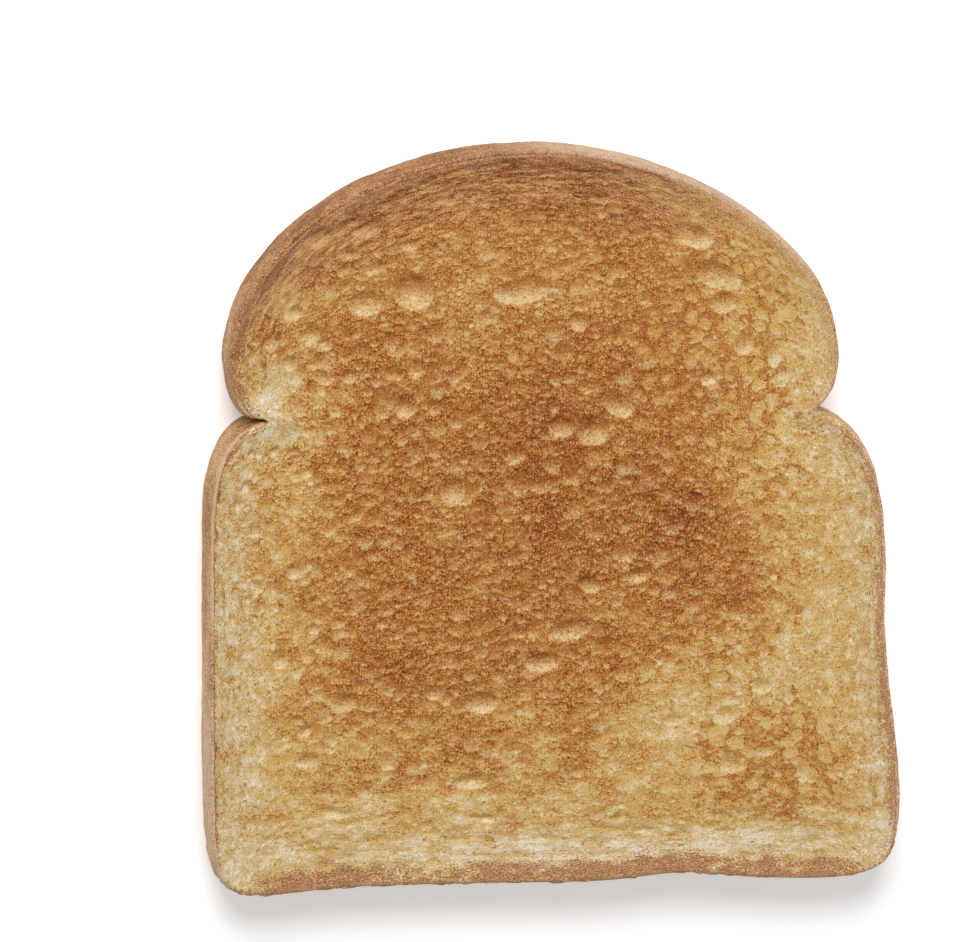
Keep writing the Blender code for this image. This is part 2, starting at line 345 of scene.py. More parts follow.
# Each pore that stands out: middle x and y, half its length and width, depth, and its turn.
topPores = [
    (-23.2, 37.4, 3.3, 2.7, 1.5, -10),
    (-30.9, 35.6, 2.7, 1.9, 1, 8),
    (-5.6, 37.2, 4.8, 1.9, 0.9, 10),
    (21.4, 45.4, 3.6, 1.6, 0.7, -24),
    (25.6, 38.8, 4.2, 1.8, 0.8, -22),
    (3.2, 31.9, 1.4, 1.4, 0.9, 0),
    (-24.6, 19, 1.9, 1.6, 0.9, 0),
    (0.6, 15.2, 2.2, 1.6, 0.9, 5),
    (5.6, 14.4, 2.7, 2.1, 1.1, -8),
    (9.4, 18.6, 3, 1.6, 0.9, -30),
    (24.2, 22.3, 1.3, 1.1, 0.7, 0),
    (-17, 5.3, 2.2, 2, 0.8, 0),
    (4.9, -10.4, 1.9, 1.2, 0.8, -30),
    (13, -9.2, 2.2, 1.1, 0.6, 12),
    (2.4, -17.6, 3.6, 1.5, 0.9, 14),
    (-2.5, -22.9, 2.9, 1.4, 1, 4),
    (-12.2, -29.1, 2.9, 1.5, 0.9, 4),
    (-19.9, -27.4, 1.6, 1, 0.6, 0),
    (-34.4, -28.5, 2.1, 1.3, 0.8, 30),
    (-40.6, -32.8, 1.5, 0.8, 0.6, 30),
    (-40.3, -37.7, 2, 1, 0.5, 20),
    (-13.8, -42, 3.4, 1, 0.6, 6),
    (-36.5, -46.2, 2.6, 0.9, 0.6, -16),
    (-12.1, -48, 2.3, 0.5, 0.9, -8),
    (14, -50.9, 2, 0.6, 0.7, 0),
    (-49.2, 12, 0.8, 0.5, 0.7, 60),
    (-45.6, 12.4, 0.9, 0.6, 0.8, 40),
    (-42.6, 12.2, 0.8, 0.5, 0.7, 10),
    (-49.9, 7, 0.6, 0.9, 0.7, 0),
    (-51.4, 3.8, 0.5, 0.9, 0.6, 0),
    (-38.3, 46.4, 2.4, 1.2, 0.8, 34),
    (-30.3, 47.7, 2.6, 1.2, 0.8, 20),
    (-29.3, 41.2, 2, 0.9, 0.6, 20),
    (-33, 43.5, 1.3, 0.7, 0.5, 25),
    (-23.8, 44.8, 1.8, 0.7, 0.5, 8),
    (-42.4, 34.4, 1.7, 1, 0.7, 20),
    (-45.9, 30.1, 1.6, 1.1, 0.6, 60),
    (-39.5, 30.9, 1.4, 1.4, 0.6, 0),
    (-37.4, 29.4, 1, 1, 0.5, 0),
    (-43, 26.4, 1.2, 1.2, 0.5, 0),
    (-33.4, 24.2, 1.2, 1.1, 0.6, 0),
    (-42.5, -6.9, 1.3, 1.2, 0.6, 0),
    (-39.2, -16.4, 1.1, 0.9, 0.5, 0),
    (-40.3, -20.8, 1, 1.2, 0.5, 0),
    (-44.7, -21.2, 1.2, 1.5, 0.5, 0),
    (-33.5, -7.1, 0.9, 0.8, 0.5, 0),
    (-48.3, -9.5, 1, 1, 0.4, 0),
    (-48.7, -0.3, 1.2, 1.2, 0.4, 0),
    (-35.4, -15.5, 1.4, 0.8, 0.4, 0),
    (-28.4, -15.8, 1, 0.7, 0.4, 0),
    (-50, -11.5, 0.6, 0.6, 0.5, 0),
    (33.7, -38.3, 2, 0.9, 0.4, 15),
    (28.6, -40.3, 2.3, 1.3, 0.5, 10),
    (27.3, -32.3, 2.2, 1.3, 0.4, 20),
    (39.9, -41.8, 1.1, 1.7, 0.4, 0),
    (18.8, -33, 1.6, 0.8, 0.4, 10),
    (33, -27.9, 1.7, 1.1, 0.5, 0),
    (26.5, 34.5, 2.2, 1.7, 0.5, 0),
    (29.8, 27.7, 1.6, 1.5, 0.5, 0),
    (34.8, 25.8, 1, 1.9, 0.4, 0),
]
underPores = [
    (20, 34, 4.2, 2.6, 1.1, 15),
    (-18, 27, 3, 2.4, 1, 0),
    (31, -6, 3.4, 2.2, 0.9, -25),
    (-30, -14, 4.6, 2.3, 1, 8),
    (12, -34, 5.2, 2, 0.9, 4),
    (-12, -40, 3.2, 1.8, 0.8, -6),
]


def ridge(r, place, width, height):  # height * exp(-((r - place) / width)^2)
    return height * np.exp(-(((r - place) / width) ** 2))


def bowls(x, y, kind, salt):  # some bubbles of a field lie open: depth * (1 - (distance / size)^2) ^ 0.7
    near, _, above, dice = bubbles(x / kind["cell"], y / kind["cell"], salt)
    size = relief["bowlSize"][0] + relief["bowlSize"][1] * dice[1]
    there = dice[0] < kind["share"]
    inside = there * np.clip(1 - (near / size) ** 2, 0, 1)
    lip = there * ridge(near / size, *relief["bowlLip"]) * (inside <= 0)
    fallen = (inside**0.7 * (0.5 + 0.5 * dice[2]) - lip) * kind["depth"]
    return fallen, inside, above / size, 0.3 + 0.7 * dice[2]


def edgeGrooves(salt):  # short hollows that run along the sides and the base, 0 to 1
    groove = np.zeros(len(spots))
    for name, (fade, long, wide) in relief["grooves"].items():
        away, _, run = edges[name]
        lines = waves(run / long, away / wide, salt)
        lines = lines + 0.5 * waves(run / long * 2.1, away / wide * 1.9, salt + 1)
        lines = ease((lines - 0.12) / 0.6) * np.exp(-((away / fade) ** 4))
        groove = np.maximum(groove, lines * endFade[name])
        salt += 2
    return groove


# How far the crumb lies below the slice's face: the bend at the rim, plus the sink and the slow swell
# inside it, plus open bubbles and named pores, plus streaks and grooves along the crust. Then how
# strong its walls, open pores, painted light on the low sides of bowls and pores, streaks and
# grooves are, each from 0 to 1.
def faceRelief(pores, broad, salt):
    x, y = spots.T
    qx, qy = drawn.T
    bend = relief["rimDrop"] * np.exp(-depth / relief["rimSpread"]) * (0.2 + 0.8 * ease((tipAway - 3) / 6))
    bend = bend * (1 - 0.6 * np.exp(-((edges["base"][0] / 3) ** 2)))
    sink = relief["sink"] * ease((depth - 0.4) / relief["rimWidth"])
    swell = relief["swell"] * layeredWaves(x / relief["swellLength"], y / relief["swellLength"], salt)
    warpX, warpY = waves(x / 4, y / 4, salt + 20) * 0.8, waves(x / 4, y / 4, salt + 21) * 0.8
    px, py = qx + warpX, qy + warpY
    hollow, openness, lowSidePaintedLight = np.zeros(len(spots)), np.zeros(len(spots)), np.zeros(len(spots))
    rough = ease((depth - 3) / 7) * (0.25 + 0.75 * ease((0.72 - broad) / 0.25))   # the pale rim baked smooth
    for kind, flat, extra in (("bigBowl", 1.12, 1), ("midBowl", 1.05, 5)):
        fallen, inside, rise, strength = bowls(px, py * flat, relief[kind], salt + extra)
        inside, fallen = inside * (rough > 0.35), fallen * rough
        hollow = np.where(inside > 0, fallen, hollow + fallen)
        openness = np.maximum(openness, inside)
        # painted light: the low side of each open bowl is made pale, as if lit from above
        light = ease(inside * 5) * np.clip((0.6 - rise) / 1.4, 0, 1) ** 1.4 * strength
        lowSidePaintedLight = np.maximum(lowSidePaintedLight, light)
    near, second, _, _ = bubbles(px / relief["wallCell"], py / relief["wallCell"], salt + 13)
    wall = 1 - ease((second - near) / 0.3)
    named = np.zeros(len(spots))
    wideX, wideY = x + warpX * 0.25, y + warpY * 0.25
    longer, wider, deeper = relief["poreLie"]
    for middleX, middleY, halfLong, halfWide, deep, turn in pores:
        r = oval(wideX, wideY, middleX, middleY, halfLong * longer, halfWide * wider, turn)
        inside = np.clip(1 - r**2, 0, 1)
        named = np.maximum(named, inside * deep * deeper) - ridge(r, *relief["poreLip"]) * (named < 0.05)
        rise = (wideY - middleY) / halfWide
        # painted light: the low side of each named pore is made pale, as if lit from above
        light = ease(inside * 6) * np.clip((0.7 - rise) / 1.4, 0, 1) * 0.95
        lowSidePaintedLight = np.where(inside > 0, light, lowSidePaintedLight)
        openness = np.maximum(openness, ease(inside * 3))
    inside = ease(depth / 1.5)
    away, _, run = edges["crown"]
    bowed = away + 0.5 * waves(run / 6, away / 5, salt + 31)
    streak = waves(run / 8.0, bowed / 1.15, salt + 30) + 0.55 * waves(run / 3.4, bowed / 0.6, salt + 32)
    groove = edgeGrooves(salt + 40)
    fall = bend + sink - swell * inside + (hollow * (named < 0.1) - wall * relief["wall"] * rough) * inside
    fading = np.exp(-((away / relief["streakFade"]) ** 2))
    streak = streak * fading * endFade["crown"]
    fall = fall + named * inside + (0.5 * fading - streak) * relief["streak"] * inside
    fall = fall + (groove + 0.3) * relief["groove"] * inside
    return fall, wall, openness * inside, lowSidePaintedLight * inside, streak, groove * inside


browning = {
    "middle": (-7.0, 15.0),
    "halves": (37.0, 56.0),
    "wander": (11.0, 0.14),    # how long the waves of the brown patch's border are, and how strong
    "turn": (0.66, 0.5),       # of the oval: where brown turns pale, and over what share
    "dark": 0.38,
    "pale": 0.78,
    "mottle": (0.12, 5.5, 0.07, 2.1),  # two kinds: how strong and how long
    # of these, open pores and grooves are darkened as painted shade; walls and scorches by their own browning
    "wall": 0.05,              # how much darker walls, open pores, grooves and scorches are
    "open": 0.08,
    "groove": 0.10,
    "scorch": 0.12,
    "streak": 0.15,            # how much paler the crown's streaks are
    "baseBand": 0.11,          # how strong the long streaks near the base are
    "palest": 0.96,
    # middle x and y, half length and width, turn, and how much paler (darker below 0) it is
    "spots": [
        (-2, 6, 11, 17, 0, -0.10),
        (-4, 17, 6, 4, 0, -0.06),
        (22, 0, 10, 6, -20, -0.14),
        (27, -6, 9, 9, 0, -0.26),
        (24, -15, 8, 5, 0, -0.24),
        (33, -13, 6, 8, 0, -0.10),
        (-35, -25, 9.5, 13, 0, -0.25),
        (-46, -8, 6, 9, 0, -0.13),
        (-28, -38, 12, 6, 0, -0.16),
        (2, -38, 12, 5, 0, -0.08),
        (-34, 46, 15, 9, 38, -0.10),
        (10, 53, 22, 7, -12, -0.06),
        (29, 43, 14, 9, -40, -0.05),
        (28, 30, 9, 13, 0, -0.08),
        (-2, 42, 26, 8, 0, 0.035),
        (34.5, -41.5, 11, 6, 4, -0.12),
        (-18, 41, 12, 8, 0, 0.13),
        (-14, 29, 7, 6, 0, 0.10),
        (2, 36, 12, 6, 0, 0.10),
        (8, -15, 5, 4, 0, 0.12),
        (-17, 3, 4, 4, 0, 0.10),
        (20, -31, 10, 6, -10, 0.06),
        (-45, 18, 8, 6, 0, 0.20),
        (-48, 33, 6, 7, 0, -0.23),
        (-52.5, 21, 4, 4, 0, -0.12),
        (-46, 8, 6, 8, 0, -0.12),
        (44, 33, 6, 10, 0, 0.05),
        (8, -41, 22, 3.5, 0, -0.05),
        (12, -47.5, 30, 2.8, 0, -0.09),
        (12, -53.4, 48, 2.4, 0, 0.16),
        (8, -57, 50, 3, 0, 0.08),
        (17, -22, 8, 6, 0, -0.09),
        (-50, -30, 4, 18, 0, 0.05),
    ],
}


# The browning, 1 for pale bread and 0 for the darkest toast: dark in an oval, pale outside it, plus
# each spot's change times its bell curve.
def smoothMap(x, y, salt):
    long, strong = browning["wander"]
    wander = layeredWaves(x / long, y / long, salt)
    ring = oval(x, y, *browning["middle"], *browning["halves"]) + wander * strong
    place, width = browning["turn"]
    level = browning["dark"] + (browning["pale"] - browning["dark"]) * ease((ring - place) / width)
    for middleX, middleY, halfLong, halfWide, turn, change in browning["spots"]:
        level = level + change * spot(x, y, middleX, middleY, halfLong, halfWide, turn)
    return level


# That browning with the relief's own share: mottled, darker on walls, darker in open pores and grooves
# as painted shade, paler on streaks, and paler on the low sides of bowls and pores as painted light.
def faceLevels(wall, openness, lowSidePaintedLight, streak, groove, broad, salt):
    x, y = spots.T
    qx, qy = drawn.T
    turning = 0.8 + 0.9 * np.exp(-(((broad - 0.6) / 0.14) ** 2))        # most uneven where brown turns pale
    strong, long, fineStrong, fineLong = browning["mottle"]
    mottle = strong * layeredWaves(x / long, y / long, salt)
    mottle = mottle + fineStrong * waves(qx / fineLong, qy / fineLong, salt + 5)
    level = broad + mottle * turning
    # painted shade: open pores and grooves are darkened
    level = level - browning["wall"] * wall - browning["open"] * openness - browning["groove"] * groove
    level = level + browning["streak"] * streak - scorch(salt) * browning["scorch"]
    low = edges["base"][0]
    band = waves(x / 7, y / 1.9, salt + 11) + 0.45 * waves(x / 3.6, y / 0.8, salt + 12)
    level = level + browning["baseBand"] * band * ease((low - 2) / 4) * (1 - ease((low - 18) / 16))
    # painted light: the low sides of bowls and pores are made paler
    return np.minimum(level + lowSidePaintedLight * (0.5 - 0.44 * np.clip(broad, 0, 1)), browning["palest"])


finishes = {
    # how far in from each edge the crumb is tinted by the crust, and scorched
    "rim": {"left": 0.5, "crown": 0.8, "right": 4.2, "base": 1.4},
    "scorch": {"left": 0.8, "crown": 2.6, "right": 1.8, "base": 4.2},
    "rightRimWider": 2.6,
    "mauve": 9.0,              # how far in from the crown the browned crumb is mauve, not orange
    "paleLobe": (-50, 24, 9, 9),       # but not here
    "dryLow": (0, -52, 70, 4),         # where else than along the sides it is greyish cream
    "dryLeftLobe": (-46, 22, 8, 7),
    "dryRightLobe": (46, 32, 8, 12),
    # where dark walls make a net: how strong, middle x and y, half length and width
    "nets": [
        (0.95, 25.5, 32, 11.5, 14),
        (1.3, 34, -39.5, 11, 8),
        (0.4, 18, 24, 9, 12),
        (0.5, 33, 4, 9, 20),
        (0.45, 27, -20, 11, 9),
        (0.4, -38, -20, 8, 20),
    ],
}


def raggedAway(name):  # an edge's distance, shifted back and forth by noise along it
    away, _, run = edges[name]
    return away * (1 + 0.25 * waves(run / 5.1, away / 2, 77)) + 0.5 * waves(run / 2.3, away / 1.1, 78)


def rimTint():  # 1 where the crumb turns into crust at an edge, dying away at about half its reach
    rims = []
    for name, reach in finishes["rim"].items():
        wider = finishes["rightRimWider"] * ease((spots[:, 0] - 15) / 20) if name == "crown" else 0.0
        rims.append(1 - ease(raggedAway(name) / (reach + wider) * 1.6 - 0.2))
    return np.maximum.reduce(rims)


def scorch(salt):  # blotches of dark brown inside the crust, thickest at half their reach
    x, y = spots.T
    patch = 0.85 + 0.45 * waves(x / 8, y / 6, salt + 80) + 0.6 * waves(x / 2.2, y / 1.1, salt + 81)
    bands = [np.exp(-((np.maximum(raggedAway(name) / reach - 0.45, 0) * 2.6) ** 2)) * endFade[name]
             for name, reach in finishes["scorch"].items()]
    return np.clip(np.maximum.reduce(bands) * patch, 0, 1)


def mauve(streak):  # exp(-(distance from the crown / reach)^2), less on pale streaks
    paleLobe = np.clip(1.5 * spot(*spots.T, *finishes["paleLobe"]), 0, 1)
    share = np.exp(-((edges["crown"][0] / finishes["mauve"]) ** 2)) * (0.85 - 0.6 * streak) * endFade["crown"]
    return np.clip(share * (1 - paleLobe), 0, 1)


def dryness():  # 1 where the crumb is greyish cream, 0 where it is golden
    x, y = spots.T
    left = 1 - ease((edges["left"][0] - 3) / 9)
    right = 1 - ease((edges["right"][0] - 2) / 6)
    low = spot(x, y, *finishes["dryLow"]) * 0.4
    lobes = 0.8 * spot(x, y, *finishes["dryLeftLobe"]) + 0.5 * spot(x, y, *finishes["dryRightLobe"])
    return np.clip(np.maximum.reduce([left, right * 0.7, low, lobes]), 0, 1)


def addMesh(name, points, quads, cap=None):  # millimetres in, metres out, smooth shaded
    mesh = bpy.data.meshes.new(name)
    polygons = quads.tolist() + ([cap.tolist()] if cap is not None else [])
    mesh.from_pydata((points * mm).tolist(), [], polygons)
    mesh.polygons.foreach_set("use_smooth", np.ones(len(polygons), bool))
    piece = bpy.data.objects.new(name, mesh)
    bpy.context.collection.objects.link(piece)
    return piece


def addNumbers(piece, name, values):  # one number, or three, for each vertex
    kind, key = ("FLOAT_VECTOR", "vector") if values.ndim == 2 else ("FLOAT", "value")
    values = np.concatenate([values, np.zeros((len(piece.data.vertices) - len(values),) + values.shape[1:])])
    piece.data.attributes.new(name, kind, "POINT").data.foreach_set(key, values.ravel().astype(np.float32))


index = np.arange(len(spots)).reshape(faceShape)
border = np.concatenate([index[0], index[1:, -1], index[-1, -2::-1], index[-2:0:-1, 0]])
# Where each surface lies on its map: the face fills the square, its hidden sides shrink into a corner,
# and the crust is cut in strips.
unfolded = {"sheetSize": 125.0, "corner": (0.005, 0.955), "cornerSize": 0.04, "strips": 4, "margin": 0.008}

nearestEdge = np.array([edge[0] for edge in edges.values()]).argmin(0)
wayIn = np.choose(nearestEdge[:, None], [edge[1] for edge in edges.values()])
tuck = (0.08 + 0.27 * ease((tipAway - 3) / 6)) * (1 - 0.7 * np.exp(-((edges["base"][0] / 3) ** 2)))
tucked = spots + wayIn * (tuck * np.exp(-depth / 0.6))[:, None]      # the crumb ends inside the crust


def addFace(name, heights, capHeight, up):  # a grid over the slice, a skirt round its border and a flat cap
    top = np.column_stack([tucked, heights])
    below = np.column_stack([tucked[border], np.full(len(border), capHeight)])
    belowIndex = len(spots) + np.arange(len(border))
    quads = np.stack([index[:-1, :-1], index[:-1, 1:], index[1:, 1:], index[1:, :-1]], -1).reshape(-1, 4)
    nextBorder, nextBelow = np.roll(border, -1), np.roll(belowIndex, -1)
    skirt = np.stack([belowIndex, nextBelow, nextBorder, border], -1)
    cap = belowIndex[::-1]
    allQuads = np.vstack([quads, skirt])
    if not up:
        allQuads, cap = allQuads[:, ::-1], cap[::-1]
    points = np.vstack([top, below])
    piece = addMesh(name, points, allQuads, cap)
    flat = points[:, :2] / unfolded["sheetSize"] + 0.5
    corners = flat[np.concatenate([allQuads.ravel(), cap])]
    hidden = np.arange(len(corners)) >= quads.size
    corners[hidden] = corners[hidden] * unfolded["cornerSize"] + unfolded["corner"]
    piece.data.uv_layers.new(name="OFBake").data.foreach_set("uv", corners.ravel().astype(np.float32))
    addNumbers(piece, "drawn", np.column_stack([drawn, np.zeros(len(spots))]))
    addNumbers(piece, "strandAt", strandSpots)
    addNumbers(piece, "strand", strandShare)
    return piece


x, y = spots.T
netted = np.clip(sum(strong * spot(x, y, *place) for strong, *place in finishes["nets"]), 0, 1)


def makeFace(name, pores, broad, salt, heightOf, capHeight, net):  # its relief, and a number for each finish
    fall, wall, openness, lowSidePaintedLight, streak, groove = faceRelief(pores, broad, salt)
    heights = heightOf(fall)
    piece = addFace(name, heights, capHeight, heights.mean() > capHeight)
    levels = faceLevels(wall, openness, lowSidePaintedLight, streak, groove, broad, salt + 50)
    # one of these numbers carries the painted light on the low sides of bowls and pores
    numbers = {"toast": levels, "open": openness, "rim": rimTint(), "mauve": mauve(streak),
               "scorch": scorch(salt + 50), "dry": dryness(), "net": net, "creamAndLowSideLight": lowSidePaintedLight}
    for key, values in numbers.items():
        addNumbers(piece, key, values)
    print(name + ":", len(heights), "points", round(heights.min(), 2), "to", round(heights.max(), 2), "mm up")
    return piece


faces = {
    "middle": 6.0,             # the height where the two faces' flat caps meet, inside the crust
    "capGap": 0.1,             # from there to each cap
    "belowTop": 0.02,
    "underEven": (0.6, 0.3),   # the side it lies on is baked more evenly, and paler
    "underFlat": 0.6,          # and its pores are pressed flatter
}
top, middle = slab["thickness"], faces["middle"]
even, paler = faces["underEven"]
toastFace = makeFace("toastFace", topPores, smoothMap(x, y, 140), 100,
                     lambda fall: np.minimum(top - fall, top - faces["belowTop"]),
                     middle + faces["capGap"], netted)
toastUnderside = makeFace("toastUnderside", underPores, smoothMap(x, y, 340) * even + paler, 300,
                          lambda fall: np.maximum(fall * faces["underFlat"], 0.0),
                          middle - faces["capGap"], netted * 0)

crust = {
    # the lip lying over the crumb: millimetres out from the outline, and height
    "lip": [(-2.0, 6.0), (-2.0, 8.4), (-2.0, 10.4), (-1.5, 10.9), (-1.0, 11.2), (-0.7, 11.5), (-0.45, 11.68),
            (-0.25, 11.75), (-0.1, 11.72), (0.0, 11.62)],
    "lipEdge": (1.6, 0.8),     # how far in from the outline the lip shows, and over what width it starts
    "wallRows": 26,
    "bulge": 0.6,
    "lump": 0.16,
    "wrinkle": 0.09,
    "baseWrinkle": 0.22,       # more along the base, where crumbs broke off
    "ragged": 0.14,            # how unevenly the lip is torn
    # how much paler than the rest each part of the crust is baked; on the left-facing side it is partly
    # painted light
    "leftBakeAndPaintedLight": ([-30, -12, 0, 28, 40], [0.75, 0.45, 0.3, 0.25, 0.1]),    # y on the left side, how much
    "rightPaler": 0.55,
    "crownDarker": 0.3,
    "crownRightPaler": 0.1,
    "baseLipPaler": 0.35,
    "shoulderLipPaler": 0.5,
}


def crustProfile():  # the lip, a wall out by bulge * sin(pi * share of its height), and the lip upside down
    lip = np.array(crust["lip"])
    share = (np.arange(crust["wallRows"]) + 1) / (crust["wallRows"] + 1)
    top = lip[-1, 1]
    heights = top + (slab["thickness"] - 2 * top) * share
    wallOut = crust["bulge"] * np.sin(np.pi * (1 - heights / slab["thickness"]))
    below = lip[:0:-1] * (1, -1) + (0, slab["thickness"])
    return np.vstack([lip, np.column_stack([wallOut, heights]), below])


# The profile carried round the outline, out along its normal. Lumps, wrinkles and fine crumbs push it
# in and out, and its lip is torn up and down; none of it passes the outline by more than the bulge.
def addCrust():
    profile = crustProfile()
    count, deep = len(outline), len(profile)
    run, height, reach = outlineRun[:, None], profile[None, :, 1], profile[None, :, 0]
    total, upright = outlineRun[-1], height * 0

    def ripple(length, across, salt):  # waves of that length round the outline, which close on themselves
        cells = round(total / length)
        return waves(run / total * cells + upright, across, salt, cells)

    low = ease((-50 - outline[:, 1]) / 6)[:, None]
    fromMiddle = np.abs(height - middle)
    onLip = ease((reach + crust["lipEdge"][0]) / crust["lipEdge"][1])
    out = reach * np.where(reach > 0, np.maximum(foldEase, foldClose)[:, None], 1)
    skin = ease((reach + 0.9) / 0.8)
    lump = ripple(9.0, height / 7, 501) * crust["lump"]
    lump = lump + ripple(3.1, height / 2.2, 502) * (crust["wrinkle"] + crust["baseWrinkle"] * low)
    lump = lump - low * 0.08
    fine = ripple(1.3, height / 0.7, 503) * 0.05 * (low * 3 + 1)
    grown = out + (lump - 0.08 + fine) * skin * np.maximum(foldEase[:, None], 0.15)
    grown = np.minimum(grown, crust["bulge"])
    torn = (ripple(1.3, upright + 3.5, 504) - 0.4) * crust["ragged"] - 0.3 * (1 - foldEase[:, None])
    z = height + torn * ease((fromMiddle - 4.9) / 0.6) * onLip * np.sign(height - middle)
    flat = outline[:, None] + outward[:, None] * grown[..., None]
    points = np.concatenate([flat, (z + grown * 0)[..., None]], -1)
    ring = np.arange(count * deep).reshape(count, deep)
    nextRing, lower = np.roll(ring, -1, 0), np.roll(ring, -1, 1)
    quads = np.stack([ring, lower, np.roll(nextRing, -1, 1), nextRing], -1).reshape(-1, 4)
    piece = addMesh("toastCrust", points.reshape(-1, 3), quads)
    strips, margin = unfolded["strips"], unfolded["margin"]
    quadRun, quadRow = np.repeat(np.arange(count), deep), np.tile(np.arange(deep), count)
    strip, place = np.divmod(quadRun * strips, count)
    along = np.stack([place, place, place + strips, place + strips], -1) / count
    across = np.stack([quadRow, quadRow + 1, quadRow + 1, quadRow], -1) / deep
    across = across * (1 - 8 * margin) + 4 * margin
    corners = np.stack([along * (1 - 2 * margin) + margin, (strip[:, None] + across) / strips], -1)
    piece.data.uv_layers.new(name="OFBake").data.foreach_set("uv", corners.ravel().astype(np.float32))

    x, y = outline.T
    bakeAndPaintedLight = 0.5 + 0.35 * ripple(9.0, height / 5, 511) + 0.2 * ripple(3.1, height / 1.5, 512)
    rightSide = ease((x - 22) / 22) * ease((y + 57) / 8)
    leftFacing = ease((-0.1 - outward[:, 0]) / 0.8)
    crown = ease((y - 34) / 10)
    crownRight = crown * ease((x + 20) / 30)
    # painted light: the side facing left is made paler, partly by its own paler bake and partly to lift the
    # shade the lamps leave there
    paler = crust["rightPaler"] * rightSide + leftFacing * np.interp(y, *crust["leftBakeAndPaintedLight"])
    paler = paler - crust["crownDarker"] * (crown - crownRight) + crust["crownRightPaler"] * crownRight
    shoulder = ease((-40 - x) / 4) * (1 - ease((np.abs(y - 2) - 14) / 8))
    lip = ease((fromMiddle - 5.2) / 0.4) * onLip
    lipPaler = crust["baseLipPaler"] * ease((-54 - y) / 4) + crust["shoulderLipPaler"] * shoulder
    dusty = np.maximum(crownRight, 0.5 * leftFacing * ease((-24 - y) / 20))
    addNumbers(piece, "bakeAndPaintedLight", (bakeAndPaintedLight + paler[:, None] + lipPaler[:, None] * lip).ravel())
    addNumbers(piece, "pale", (np.maximum(1 - foldEase, 0.6 * shoulder)[:, None] * lip).ravel())
    addNumbers(piece, "dusty", (dusty[:, None] + upright).ravel())
    return piece


toastCrust = addCrust()
print("crust:", len(toastCrust.data.vertices), "vertices")


class Wire:  # a material's value, which can be added to, taken from, multiplied and divided
    def __init__(self, look, socket):
        self.look, self.socket = look, socket

    def math(self, operation, other):
        return self.look.math(operation, self, other)

    def __add__(self, other):
        return self.math("ADD", other)

    def __sub__(self, other):
        return self.math("SUBTRACT", other)

    def __rsub__(self, other):
        return self.look.math("SUBTRACT", other, self)

    def __mul__(self, other):
        return self.math("MULTIPLY", other)

    def __truediv__(self, other):
        return self.math("DIVIDE", other)

    def __rtruediv__(self, other):
        return self.look.math("DIVIDE", other, self)

    __radd__, __rmul__ = __add__, __mul__

    def between(self, low, high):  # 0 below low, 1 above high, eased between
        settings = {"interpolation_type": "SMOOTHSTEP"}
        values = {"Value": self, "From Min": low, "From Max": high}
        return self.look.node("ShaderNodeMapRange", settings, values, "Result")


